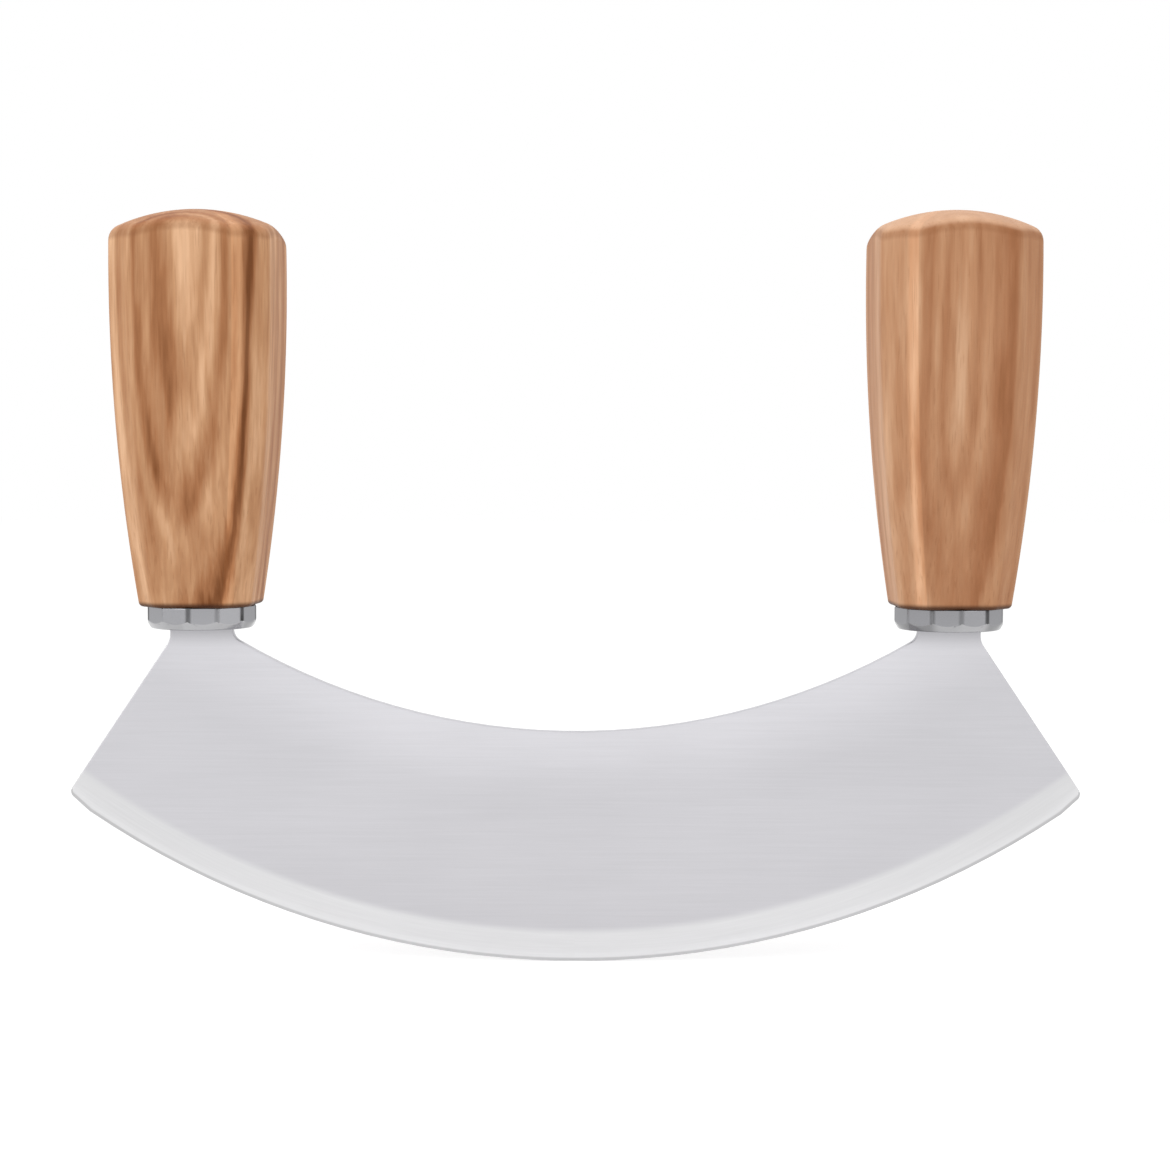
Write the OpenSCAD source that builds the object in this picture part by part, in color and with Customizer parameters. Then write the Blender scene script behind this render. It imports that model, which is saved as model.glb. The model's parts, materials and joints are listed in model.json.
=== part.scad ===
// Mezzaluna: a rocking herb knife with one arched blade and two upright wooden handles.
// Millimetres. X runs along the blade, Y through its thickness and Z up along the handles.
// The origin is the lowest point of the cutting edge.

/* [Blade] */
// Length of the blade from tip to tip
blade_length = 200; // [184:1:230]
// Thickness of the blade's sheet
blade_thickness = 2; // [1.8:0.1:3]
// Radius of the curved cutting edge
edge_radius = 171; // [150:1:200]
// Height of the blade at its middle, from the cutting edge to the arch
middle_height = 46; // [38:0.2:52]
// Radius of the arch along the top of the blade
arch_radius = 131.6; // [120:0.2:160]
// Length of the stretch at each tip where the cutting edge is ground off steeper
tip_relief = 3.6; // [2.6:0.1:8]
// Angle between that stretch and the cutting edge's arc where it begins
tip_lift = 8.7; // [4:0.1:14]
// Radius that rounds each tip
tip_radius = 1.5; // [0.5:0.1:2.5]

/* [Cutting edge] */
// Width of the ground bevel, measured in from the cutting edge
bevel_width = 6.2; // [3:0.1:10]
// Thickness left at the cutting edge
edge_thickness = 0.3; // [0.2:0.05:0.6]

/* [Necks and tangs] */
// Distance from each tip of the blade in to the axis of its handle
handle_inset = 26.3; // [22:0.1:34]
// Width of each neck that rises from the blade to a ferrule
neck_width = 12.4; // [10:0.2:15]
// Height of a neck above the arch, on its inner side
inner_neck = 1.9; // [1.6:0.1:5]
// Height of a neck above the slanted end of the blade, on its outer side
outer_neck = 2.5; // [2:0.1:8]
// Radius where the arch turns into a neck
inner_fillet = 2.6; // [0.5:0.1:2.8]
// Radius where the slanted end turns into a neck
outer_fillet = 4; // [1:0.5:6]
// Width of the tang inside a handle
tang_width = 8; // [5:0.5:9]
// Thickness of the tang, ground a little thinner than the sheet
tang_thickness = 1.6; // [1:0.1:1.7]
// Length of the tang above the neck
tang_length = 55; // [30:1:65]

/* [Ferrules] */
// Number of flats round a ferrule
ferrule_sides = 12; // [8, 10, 12]
// Width of a ferrule across its flats
ferrule_across = 21; // [19:0.2:22]
// Height of a ferrule
ferrule_height = 4.4; // [4:0.1:8]
// Thickness of the ferrule's floor, which sits on the neck
ferrule_floor = 1.8; // [1.5:0.1:3]
// Inset of the chamfer round the ferrule's lower rim, measured at its flats
ferrule_inset = 0.6; // [0.2:0.1:1.2]
// Angle between that chamfer and the ferrule's side
ferrule_slope = 30; // [20:5:45]
// Turn of each ferrule about its handle, towards the middle of the blade
ferrule_turn = 11; // [0:1:15]

/* [Handles] */
// Height of a handle from its foot to the top of its dome
handle_length = 77.3; // [74:0.1:100]
// Width of a handle across its front and back flats at its widest
handle_across = 31.4; // [28:0.2:38]
// Width of the front, back and side flats at the widest
flat_width = 19.4; // [15:0.2:22]
// Height of the widest place above the foot
widest_height = 64.5; // [55:0.5:68]
// Radius of the long curve that each flat follows from foot to top
flat_radius = 440; // [400:10:900]
// Radius of the dome
dome_radius = 36; // [26:1:60]
// Depth turned off the sharp corners between the flats
corner_trim = 0.3; // [0.1:0.05:0.6]
// Turn of each handle about its axis, away from the middle of the blade
handle_turn = 2; // [0:0.5:6]
// Diameter of the tenon under the foot
tenon_diameter = 14; // [12.5:0.1:15]

/* [Fits] */
// Gap between the tenon and the ferrule's seat, on each side and below
tenon_gap = 0.1; // [0.05:0.05:0.2]
// Gap between the tang and its slot in the ferrule, on each side
slot_gap = 0.1; // [0.05:0.05:0.2]
// Least thickness of the adhesive round the tang
glue_wall = 0.7; // [0.4:0.1:1]
// Depth of adhesive above the end of the tang
glue_cap = 2; // [1:0.5:4]
// Gap between the set adhesive and what it holds
glue_gap = 0.02; // [0.01:0.01:0.05]

/* [Hidden] */
$fn = 128;

steel = "#cfcdd2";
polished = "#a9abb0";
oak = "#c98f5c";
glue = "#e8dfb8";

// Extra reach of a cutting shape past the surface it cuts
over = 1;
// Depth by which a round cuts past the line or arc that it ends on, so that the faces cross cleanly
bite = 0.01;

half_length = blade_length / 2;
half_pitch = half_length - handle_inset;
half_neck = neck_width / 2;
neck_in = half_pitch - half_neck;
neck_out = half_pitch + half_neck;

// Centre of the arch
arch_centre = [0, middle_height + arch_radius];
function arch_height(x) = arch_centre.y - sqrt(pow(arch_radius, 2) - pow(x, 2));

// Heights of the shoulders that carry the ferrules, and of the handles' feet and tops
shoulder = arch_height(neck_in) + inner_neck;
foot = shoulder + ferrule_height;
top = foot + handle_length;

// The steeper stretch at the right tip: where it leaves the cutting edge's arc, and its direction
relief_x = half_length - tip_relief;
relief_start = [relief_x, edge_radius - sqrt(pow(edge_radius, 2) - pow(relief_x, 2))];
relief_angle = asin(relief_x / edge_radius) + tip_lift;
relief_along = [cos(relief_angle), sin(relief_angle)];
relief_normal = [-relief_along.y, relief_along.x];
relief_low = relief_start - (relief_start.y + over) / relief_along.y * relief_along;

// Centre of the round at the right tip, which touches the steeper stretch from inside
tip_depth = tip_radius - bite;
tip_run = (tip_relief - tip_radius + tip_depth * relief_along.y) / relief_along.x;
relief_end = relief_start + tip_run * relief_along;
tip = relief_end + tip_depth * relief_normal;

// The slanted end runs from the neck's outer root to a tangent on the tip's round
root = [neck_out, shoulder - outer_neck];
root_to_tip = norm(tip - root);
end_angle = atan2(tip.y - root.y, tip.x - root.x) + asin(tip_radius / root_to_tip);
end_along = [cos(end_angle), sin(end_angle)];
end_normal = [-end_along.y, end_along.x];
tip_tangent = tip + tip_depth * end_normal;

// Centre of the round between the slanted end and the neck
outer_rise = outer_fillet * (1 - end_normal.x) / end_normal.y;
outer_round = root + [outer_fillet, outer_rise];

// Centre of the round between the arch and the neck
inner_x = neck_in - inner_fillet;
inner_reach = arch_radius - inner_fillet;
inner_round = [inner_x, arch_centre.y - sqrt(pow(inner_reach, 2) - pow(inner_x, 2))];
inner_tangent = arch_centre + arch_radius * (inner_round - arch_centre) / inner_reach;

// Half widths of a handle at its widest: to its flats, its diagonals and its corners
to_flat = handle_across / 2;
to_diagonal = (to_flat + flat_width / 2) / sqrt(2);
to_corner = norm([to_flat, flat_width / 2]) - corner_trim;

// The tenon fills the ferrule's seat, and the bore holds the tang in its adhesive
tenon_length = ferrule_height - ferrule_floor - tenon_gap;
bore_radius = norm([tang_width, tang_thickness]) / 2 + glue_wall;
bore_top = shoulder + tang_length + glue_cap;
tenon_foot = foot - tenon_length;

// Draws a flat outline in the plane of the blade and gives it a thickness
module upright(thickness) {
    rotate([90, 0, 0]) linear_extrude(thickness, center = true) children();
}

// Right half of a shape and its mirror image on the left
module both_sides() {
    children();
    mirror([1, 0, 0]) children();
}

// Right half of the blade below its shoulders, before the arch is cut
module half_blank() {
    polygon([
        [0, -over], relief_low, relief_end, tip, tip_tangent,
        root, [neck_out, shoulder], [0, shoulder],
    ]);
}

// Fills the corner between two tangent points with a round
module corner_round(from, corner, to, centre, radius) {
    difference() {
        polygon([from, corner, to]);
        translate(centre) circle(radius + bite);
    }
}

// Outline of the blade without its tangs, before the lens gives it the curved edge
module blade_outline() {
    both_sides() {
        half_blank();
        translate(tip) circle(tip_radius);
    }
}

// Neck on the right with the rounds on both its sides
module neck() {
    within = [half_neck / 2, 0];
    translate([neck_in, root.y - over]) square([neck_width, shoulder - root.y + over]);
    corner_round([neck_out, outer_round.y], root - within, outer_round - outer_fillet * end_normal,
        outer_round, outer_fillet);
    corner_round([neck_in, inner_round.y], [neck_in, arch_height(neck_in)] + within - [0, over],
        inner_tangent, inner_round, inner_fillet);
}

// Lens that leaves the sheet whole inside and grinds it thin towards the cutting edge
module bevel_lens() {
    slope = (blade_thickness - edge_thickness) / 2 / bevel_width;
    inset = bevel_width + over / slope;
    thick = blade_thickness / 2 + over;
    thin = edge_thickness / 2;
    translate([0, 0, edge_radius]) rotate([90, 0, 0]) rotate_extrude() polygon([
        [0, -thick], [edge_radius - inset, -thick], [edge_radius, -thin],
        [edge_radius, thin], [edge_radius - inset, thick], [0, thick],
    ]);
}

// Tang on the right handle's axis, with a round end, grown by a gap on every side
module tang(gap = 0) {
    end_radius = tang_width / 2;
    upright(tang_thickness + 2 * gap) {
        translate([half_pitch - end_radius - gap, shoulder - over])
            square([tang_width + 2 * gap, tang_length - end_radius + over]);
        translate([half_pitch, shoulder + tang_length - end_radius]) circle(end_radius + gap);
    }
}

module blade() {
    color(steel) {
        intersection() {
            upright(blade_thickness) {
                difference() {
                    blade_outline();
                    translate(arch_centre) circle(arch_radius);
                }
                both_sides() neck();
            }
            bevel_lens();
        }
        both_sides() tang();
    }
}

// Cone that chamfers the lower rim of a ferrule
module rim_cone() {
    rise = ferrule_height + over;
    low = ferrule_across / 2 - ferrule_inset;
    rotate_extrude() polygon([[0, 0], [low, 0], [low + rise * tan(ferrule_slope), rise], [0, rise]]);
}

// Ferrule on the right: a flat-sided cup with a slot in its floor for the tang
module ferrule() {
    across_corners = ferrule_across / cos(180 / ferrule_sides);
    color(polished) difference() {
        translate([half_pitch, 0, shoulder]) intersection() {
            rotate(180 / ferrule_sides - ferrule_turn)
                cylinder(d = across_corners, h = ferrule_height, $fn = ferrule_sides);
            rim_cone();
        }
        translate([half_pitch, 0, shoulder + ferrule_floor])
            cylinder(d = tenon_diameter + 2 * tenon_gap, h = ferrule_height);
        tang(slot_gap);
    }
}

// Barrel that bulges by the flats' long curve and reaches a given half width at the widest
module long_flat(reach) {
    curve = flat_radius * to_flat / reach;
    breadth = 2 * handle_across;
    translate([reach - curve, 0, widest_height]) rotate([90, 0, 0])
        cylinder(r = curve, h = breadth, center = true, $fn = 256);
}

// Round blank that the flats are cut from: it trims their corners and carries the dome
module turned_blank() {
    curve = flat_radius * to_flat / to_corner;
    dome_centre = handle_length - dome_radius;
    rotate_extrude($fn = 256) intersection() {
        translate([to_corner - curve, widest_height]) circle(curve);
        union() {
            translate([0, dome_centre]) circle(dome_radius);
            square([handle_across, dome_centre]);
        }
        square([handle_across, handle_length + over]);
    }
}

// Handle on the right: eight long flats, a dome, a tenon below and a bore for the tang
module handle() {
    color(oak) difference() {
        union() {
            translate([half_pitch, 0, foot]) rotate(handle_turn) intersection() {
                turned_blank();
                intersection_for (turn = [0:90:270]) rotate(turn) long_flat(to_flat);
                intersection_for (turn = [45:90:315]) rotate(turn) long_flat(to_diagonal);
            }
            translate([half_pitch, 0, tenon_foot])
                cylinder(d = tenon_diameter, h = tenon_length + over);
        }
        translate([half_pitch, 0, tenon_foot - over])
            cylinder(r = bore_radius, h = bore_top - tenon_foot + over);
    }
}

// Set adhesive on the right: it fills the bore round the tang and above its end
module tang_glue() {
    color(glue) difference() {
        translate([half_pitch, 0, tenon_foot])
            cylinder(r = bore_radius - glue_gap, h = bore_top - tenon_foot - glue_gap);
        tang(glue_gap);
    }
}

module on_left() {
    mirror([1, 0, 0]) children();
}

module left_ferrule() { on_left() ferrule(); }
module right_ferrule() { ferrule(); }
module left_handle() { on_left() handle(); }
module right_handle() { handle(); }
module left_tang_glue() { on_left() tang_glue(); }
module right_tang_glue() { tang_glue(); }

blade();
left_ferrule();
right_ferrule();
left_handle();
right_handle();
left_tang_glue();
right_tang_glue();
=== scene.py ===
import json
import math
from typing import NamedTuple

import bmesh
import bpy
from bpy.props import FloatProperty, FloatVectorProperty, PointerProperty
from mathutils import Matrix, Vector

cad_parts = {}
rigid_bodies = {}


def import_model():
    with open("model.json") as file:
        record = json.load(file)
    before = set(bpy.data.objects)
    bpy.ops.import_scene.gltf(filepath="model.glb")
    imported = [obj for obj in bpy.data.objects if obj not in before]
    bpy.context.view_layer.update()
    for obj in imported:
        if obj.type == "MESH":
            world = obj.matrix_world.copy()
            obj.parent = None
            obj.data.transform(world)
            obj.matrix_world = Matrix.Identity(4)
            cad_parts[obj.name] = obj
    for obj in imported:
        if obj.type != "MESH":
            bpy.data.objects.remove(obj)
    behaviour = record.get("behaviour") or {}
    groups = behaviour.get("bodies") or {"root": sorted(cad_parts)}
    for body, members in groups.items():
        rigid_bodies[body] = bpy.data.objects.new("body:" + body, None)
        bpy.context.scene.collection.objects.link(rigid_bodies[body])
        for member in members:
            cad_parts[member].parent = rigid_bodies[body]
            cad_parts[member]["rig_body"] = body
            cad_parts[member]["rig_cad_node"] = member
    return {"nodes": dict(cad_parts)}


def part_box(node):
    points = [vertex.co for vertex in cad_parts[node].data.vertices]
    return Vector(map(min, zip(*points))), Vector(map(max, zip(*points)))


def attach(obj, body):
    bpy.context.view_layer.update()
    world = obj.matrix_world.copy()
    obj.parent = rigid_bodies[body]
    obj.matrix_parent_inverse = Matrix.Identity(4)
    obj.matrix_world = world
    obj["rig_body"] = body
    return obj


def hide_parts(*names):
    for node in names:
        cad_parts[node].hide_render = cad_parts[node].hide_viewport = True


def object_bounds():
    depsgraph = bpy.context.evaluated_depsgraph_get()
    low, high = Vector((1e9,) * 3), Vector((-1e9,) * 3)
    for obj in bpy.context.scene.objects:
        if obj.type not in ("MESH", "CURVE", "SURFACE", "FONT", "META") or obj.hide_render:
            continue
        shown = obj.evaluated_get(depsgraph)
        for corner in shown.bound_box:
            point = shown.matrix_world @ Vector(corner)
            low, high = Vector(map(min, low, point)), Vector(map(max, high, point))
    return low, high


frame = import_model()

bl_info = {
    "name": "Mezzaluna finish",
    "version": (1, 0, 0),
    "blender": (4, 5, 0),
    "location": "3D View > Sidebar > Mezzaluna",
    "description": "Finishes a rocking herb knife: ground blade, polished ferrules, sanded handles",
    "category": "Object",
}

CAD_LOW, CAD_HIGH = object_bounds()
MM = 0.001


class HandlePlace:
    """Where one handle stands, and its heights and bore, read from the frame's boxes."""

    def __init__(self, side):
        wood_low, wood_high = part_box(side + "_handle")
        glue_low, glue_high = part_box(side + "_tang_glue")
        self.axis = (glue_low.x + glue_high.x) / 2
        self.outward = 1 if self.axis > 0 else -1
        self.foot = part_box(side + "_ferrule")[1].z
        self.top = wood_high.z
        self.tenon_foot = wood_low.z
        self.bore_radius = (glue_high.x - glue_low.x) / 2
        self.bore_top = glue_high.z


# Sizes and colours that a user would change

class MezzalunaSizes(bpy.types.PropertyGroup):
    """Sizes of the pieces that the frame's boxes don't give."""

    handle_across: FloatProperty(
        name="Handle across", description="Width of a handle across two opposite flats at its widest",
        default=31.4 * MM, unit="LENGTH")
    handle_turn: FloatProperty(
        name="Handle turn", description="Turn of each handle about its axis, away from the middle",
        default=math.radians(2), subtype="ANGLE")
    flat_width: FloatProperty(
        name="Flat width", description="Width of a handle's front flat at its widest",
        default=19.4 * MM, unit="LENGTH")
    widest_height: FloatProperty(
        name="Widest height", description="Height of a handle's widest place above its foot",
        default=64.5 * MM, unit="LENGTH")
    flat_radius: FloatProperty(
        name="Flat radius", description="Radius of the long curve of the handle's flats",
        default=440 * MM, unit="LENGTH")
    corner_round: FloatProperty(
        name="Corner round", description="Radius that is sanded on the corners between the flats",
        default=3.4 * MM, unit="LENGTH")
    dome_radius: FloatProperty(
        name="Dome radius", description="Radius of the dome on top of a handle",
        default=36 * MM, unit="LENGTH")
    rim_round: FloatProperty(
        name="Rim round", description="Radius between the dome and the handle's flats",
        default=3.2 * MM, unit="LENGTH")
    foot_round: FloatProperty(
        name="Foot round", description="Radius round the foot of a handle",
        default=1 * MM, unit="LENGTH")
    tenon_radius: FloatProperty(
        name="Tenon radius", description="Radius of the tenon that sits in the ferrule",
        default=7 * MM, unit="LENGTH")
    blade_edge_round: FloatProperty(
        name="Blade edge round", description="Width of the broken edge round the blade's outline",
        default=0.25 * MM, unit="LENGTH")
    ferrule_edge_round: FloatProperty(
        name="Ferrule edge round", description="Width of the broken edges of a ferrule",
        default=0.25 * MM, unit="LENGTH")
    edge_radius: FloatProperty(
        name="Edge radius", description="Radius of the cutting edge's arc",
        default=171 * MM, unit="LENGTH")
    bevel_width: FloatProperty(
        name="Bevel width", description="Width of the ground bevel along the cutting edge",
        default=6.2 * MM, unit="LENGTH")
    honed_width: FloatProperty(
        name="Honed width", description="Width of the honed line along the cutting edge",
        default=0.6 * MM, unit="LENGTH")
    tip_relief: FloatProperty(
        name="Tip relief", description="Length of the steeper stretch of the cutting edge at each tip",
        default=3.6 * MM, unit="LENGTH")
    tip_lift: FloatProperty(
        name="Tip lift", description="How much steeper that stretch is than the arc before it",
        default=math.radians(8.7), subtype="ANGLE")
    middle_height: FloatProperty(
        name="Middle height", description="Height of the blade at its middle",
        default=46 * MM, unit="LENGTH")
    arch_radius: FloatProperty(
        name="Arch radius", description="Radius of the arch along the top of the blade",
        default=131.6 * MM, unit="LENGTH")
    ferrule_across: FloatProperty(
        name="Ferrule across", description="Width of a ferrule across its flats",
        default=21 * MM, unit="LENGTH")
    ferrule_turn: FloatProperty(
        name="Ferrule turn", description="Turn of each ferrule about its handle, towards the middle",
        default=math.radians(11), subtype="ANGLE")


class MezzalunaColours(bpy.types.PropertyGroup):
    """Colours of the finishes."""

    blade: FloatVectorProperty(
        name="Blade", description="Satin steel of the blade's flats",
        default=(0.56, 0.555, 0.58), size=3, subtype="COLOR", min=0, max=1)
    bevel: FloatVectorProperty(
        name="Bevel", description="Ground steel along the cutting edge",
        default=(0.685, 0.685, 0.695), size=3, subtype="COLOR", min=0, max=1)
    # Rougher cut ends, painted dark as a painted reflection of darker surroundings
    sheared: FloatVectorProperty(
        name="Sheared edge", description="Duller steel of the sheet's cut ends",
        default=(0.32, 0.32, 0.33), size=3, subtype="COLOR", min=0, max=1)
    ferrule: FloatVectorProperty(
        name="Ferrule", description="Polished steel of the ferrules",
        default=(0.325, 0.325, 0.34), size=3, subtype="COLOR", min=0, max=1)
    # Brighter than the ferrule's flats, partly for the turned finish and partly as a painted reflection
    # of the floor
    chamfer: FloatVectorProperty(
        name="Ferrule chamfer", description="Turned steel of the ferrules' lower rims",
        default=(0.40, 0.40, 0.41), size=3, subtype="COLOR", min=0, max=1)
    glue: FloatVectorProperty(
        name="Glue", description="Set adhesive inside the handles",
        default=(0.72, 0.62, 0.38), size=3, subtype="COLOR", min=0, max=1)


class MezzalunaStage(bpy.types.PropertyGroup):
    """The photograph's viewpoint and the studio light."""

    distance: FloatProperty(
        name="Distance", description="From the camera to the point that it aims at",
        default=425.5 * MM, unit="LENGTH")
    azimuth: FloatProperty(
        name="Azimuth", description="How far the camera stands to the right of straight in front",
        default=math.radians(0.42), subtype="ANGLE")
    elevation: FloatProperty(
        name="Elevation", description="How far the camera stands above the point that it aims at",
        default=math.radians(3.35), subtype="ANGLE")
    roll: FloatProperty(
        name="Roll", description="How far the camera is turned about its line of sight",
        default=math.radians(0.12), subtype="ANGLE")
    target: FloatVectorProperty(
        name="Target", description="Point that the camera aims at",
        default=(1.96 * MM, 0, 75 * MM), size=3, subtype="TRANSLATION")
    view_width: FloatProperty(
        name="View width", description="Width that the picture takes in at the target",
        default=230.76 * MM, unit="LENGTH")
    world_light: FloatProperty(
        name="World light", description="Strength of the even white light from all round",
        default=0.8, min=0, max=2)


# Modelling helpers

# Vertices closer than this are merged, and faces that meet at a smaller angle than this are joined
MERGE_DISTANCE = 0.002 * MM
FLAT_ANGLE = math.radians(0.2)
# Edges that turn by more than this are bevelled, except on the handles, and aren't shaded smooth
BLADE_SHARP = math.radians(30)
FERRULE_SHARP = math.radians(20)
HANDLE_SHARP = math.radians(35)


def deselect_all():
    if bpy.context.object and bpy.context.object.mode != "OBJECT":
        bpy.ops.object.mode_set(mode="OBJECT")
    bpy.ops.object.select_all(action="DESELECT")


def activate(piece):
    deselect_all()
    piece.select_set(True)
    bpy.context.view_layer.objects.active = piece


def copy_of_node(node, name):
    """A merged copy of a CAD node, with its flat faces whole again."""
    activate(frame["nodes"][node])
    bpy.ops.object.duplicate(linked=False)
    piece = bpy.context.object
    piece.name = piece.data.name = name
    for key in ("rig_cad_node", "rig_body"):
        piece.pop(key, None)
    piece.parent = None
    bpy.ops.object.mode_set(mode="EDIT")
    bpy.ops.mesh.select_all(action="SELECT")
    bpy.ops.mesh.remove_doubles(threshold=MERGE_DISTANCE)
    bpy.ops.mesh.customdata_custom_splitnormals_clear()
    bpy.ops.mesh.dissolve_limited(angle_limit=FLAT_ANGLE)
    bpy.ops.object.mode_set(mode="OBJECT")
    return piece


def pick(piece, kind, wanted):
    """Selects, in edit mode, only the edges or faces that the test wanted picks."""
    bpy.ops.mesh.select_mode(type=kind)
    bpy.ops.mesh.select_all(action="DESELECT")
    mesh = bmesh.from_edit_mesh(piece.data)
    for element in mesh.edges if kind == "EDGE" else mesh.faces:
        element.select = wanted(element)
    bmesh.update_edit_mesh(piece.data)


def bevel_edges(piece, wanted, width, segments):
    """Bevels the edges between two faces that the test wanted picks."""
    activate(piece)
    bpy.ops.object.mode_set(mode="EDIT")
    pick(piece, "EDGE", lambda edge: len(edge.link_faces) == 2 and wanted(edge))
    bpy.ops.mesh.bevel(offset=width, segments=segments, clamp_overlap=False, harden_normals=False)
    bpy.ops.mesh.select_all(action="SELECT")
    bpy.ops.mesh.remove_doubles(threshold=MERGE_DISTANCE)
    bpy.ops.object.mode_set(mode="OBJECT")


def smooth(piece, angle):
    """Shades the piece smooth below an angle, with large faces kept flat."""
    activate(piece)
    bpy.ops.object.shade_smooth_by_angle(angle=angle)
    modifier = piece.modifiers.new("Weighted normals", "WEIGHTED_NORMAL")
    modifier.keep_sharp = True
    modifier.weight = 80
    bpy.ops.object.modifier_apply(modifier=modifier.name)


def paint_faces(piece, slot_index, wanted):
    """Gives the faces that the test wanted picks the material of a slot."""
    activate(piece)
    bpy.ops.object.mode_set(mode="EDIT")
    pick(piece, "FACE", wanted)
    piece.active_material_index = slot_index
    bpy.ops.object.material_slot_assign()
    bpy.ops.object.mode_set(mode="OBJECT")


def dress(piece, node, slot, *materials):
    """Gives a finished piece its materials and lets it stand for its CAD node."""
    piece.data.materials.clear()
    for material in materials:
        piece.data.materials.append(material)
    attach(piece, "root")
    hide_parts(node)


# Handle shape: steps across half a front flat, round a corner and across half a diagonal flat,
# and rings down over the dome, its rim, the side and the foot
FLAT_STEPS = 5
CORNER_STEPS = 6
DIAGONAL_STEPS = 3
DOME_RINGS = 10
RIM_STEPS = 6
SIDE_RINGS = 36
FOOT_STEPS = 4
# Passes in which the height of the rim's round is found
RIM_PASSES = 4

QUARTER_TURN = math.pi / 2
EIGHTH_TURN = math.pi / 4


def polar(reach, angle):
    return reach * Vector((math.cos(angle), math.sin(angle)))


def unit_section(sizes, half_width):
    """Columns round a handle: for each, its direction and its distance when the flats lie at 1."""
    half_flat = sizes.flat_width / 2 / half_width
    corner_round = sizes.corner_round / half_width
    towards_corner = EIGHTH_TURN / 2
    centre = Vector((1, half_flat)) - polar(corner_round / math.cos(towards_corner), towards_corner)
    corner = [centre + polar(corner_round, EIGHTH_TURN * step / CORNER_STEPS)
              for step in range(CORNER_STEPS + 1)]
    diagonal = (1 + half_flat) / math.sqrt(2)
    middle = polar(diagonal, EIGHTH_TURN)
    points = [Vector((1, corner[0].y * step / FLAT_STEPS)) for step in range(FLAT_STEPS)]
    points += corner
    points += [corner[-1].lerp(middle, step / DIAGONAL_STEPS) for step in range(1, DIAGONAL_STEPS)]
    eighth = [(math.atan2(point.y, point.x), point.length) for point in points]
    quarter = eighth + [(EIGHTH_TURN, diagonal)]
    quarter += [(QUARTER_TURN - angle, reach) for angle, reach in reversed(eighth[1:])]
    return [(angle + k * QUARTER_TURN, reach) for k in range(4) for angle, reach in quarter]


def arc(centre, height, radius, start, end, steps):
    """Radius and height of points along an arc, between angles from straight up."""
    angles = [start + (end - start) * step / steps for step in range(steps + 1)]
    return [(centre + radius * math.sin(angle), height + radius * math.cos(angle)) for angle in angles]


def handle_profile(stand, sizes, half_width, reach):
    """Radius and height of every ring in one column, from the dome's top down to the bore's end."""
    dome_centre = stand.top - stand.foot - sizes.dome_radius

    def side(height):
        return reach * (half_width - (height - sizes.widest_height) ** 2 / 2 / sizes.flat_radius)

    # The rim's round touches both the dome and the side
    rim_height = stand.top - stand.foot
    for _ in range(RIM_PASSES):
        rim_x = side(rim_height) - sizes.rim_round
        rim_height = dome_centre + math.sqrt((sizes.dome_radius - sizes.rim_round) ** 2 - rim_x ** 2)
    slope = math.atan2(rim_x, rim_height - dome_centre)

    profile = arc(0, dome_centre, sizes.dome_radius, 0, slope, DOME_RINGS)[1:-1]
    profile += arc(rim_x, rim_height, sizes.rim_round, slope, QUARTER_TURN, RIM_STEPS)
    foot = sizes.foot_round
    heights = [rim_height + (foot - rim_height) * step / SIDE_RINGS for step in range(SIDE_RINGS + 1)]
    profile += [(side(height), height) for height in heights[1:]]
    profile += arc(side(foot) - foot, foot, foot, QUARTER_TURN, math.pi, FOOT_STEPS)[1:]
    tenon_foot = stand.tenon_foot - stand.foot
    profile += [
        (sizes.tenon_radius, 0), (sizes.tenon_radius, tenon_foot),
        (stand.bore_radius, tenon_foot), (stand.bore_radius, stand.bore_top - stand.foot),
    ]
    return profile


def place_ring(piece, points):
    """Moves the selected ring of vertices to the given points, matched in order of index."""
    mesh = bmesh.from_edit_mesh(piece.data)
    chosen = sorted((v for v in mesh.verts if v.select), key=lambda vertex: vertex.index)
    for vertex, point in zip(chosen, points):
        vertex.co = point
    bmesh.update_edit_mesh(piece.data)


def model_handle(side, sizes):
    """Extrudes a ring from the top of the dome down the flats, round the foot and up the bore."""
    stand = HandlePlace(side)
    half_width = sizes.handle_across / 2
    columns = unit_section(sizes, half_width)
    profiles = [handle_profile(stand, sizes, half_width, reach) for _, reach in columns]
    centre = Vector((stand.axis, 0, stand.foot))
    turn = Matrix.Rotation(stand.outward * sizes.handle_turn, 3, "Z")

    def ring(step):
        return [
            centre + turn @ Vector((math.cos(angle) * profile[step][0],
                                    math.sin(angle) * profile[step][0], profile[step][1]))
            for (angle, _), profile in zip(columns, profiles)
        ]

    deselect_all()
    bpy.ops.mesh.primitive_circle_add(vertices=len(columns), radius=MM, fill_type="NOTHING",
                                      location=centre)
    piece = bpy.context.object
    piece.name = piece.data.name = side + "_handle_wood"
    bpy.ops.object.transform_apply(location=True, rotation=True, scale=True)
    bpy.ops.object.mode_set(mode="EDIT")
    bpy.ops.mesh.select_mode(type="VERT")
    bpy.ops.mesh.select_all(action="SELECT")
    place_ring(piece, ring(0))
    for step in range(1, len(profiles[0])):
        bpy.ops.mesh.extrude_region_move()
        place_ring(piece, ring(step))

    # The last ring closes the bore, and the first one closes the dome round its highest point
    bpy.ops.mesh.edge_face_add()
    bpy.ops.mesh.poke()
    pick(piece, "EDGE", lambda edge: edge.is_boundary)
    bpy.ops.mesh.edge_face_add()
    bpy.ops.mesh.poke()
    mesh = bmesh.from_edit_mesh(piece.data)
    max(mesh.verts, key=lambda vertex: vertex.co.z).co.z = stand.top
    bpy.ops.mesh.select_all(action="SELECT")
    bpy.ops.mesh.normals_make_consistent(inside=False)
    bpy.ops.object.mode_set(mode="OBJECT")
    smooth(piece, HANDLE_SHARP)
    return piece


# Shader helpers

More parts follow.
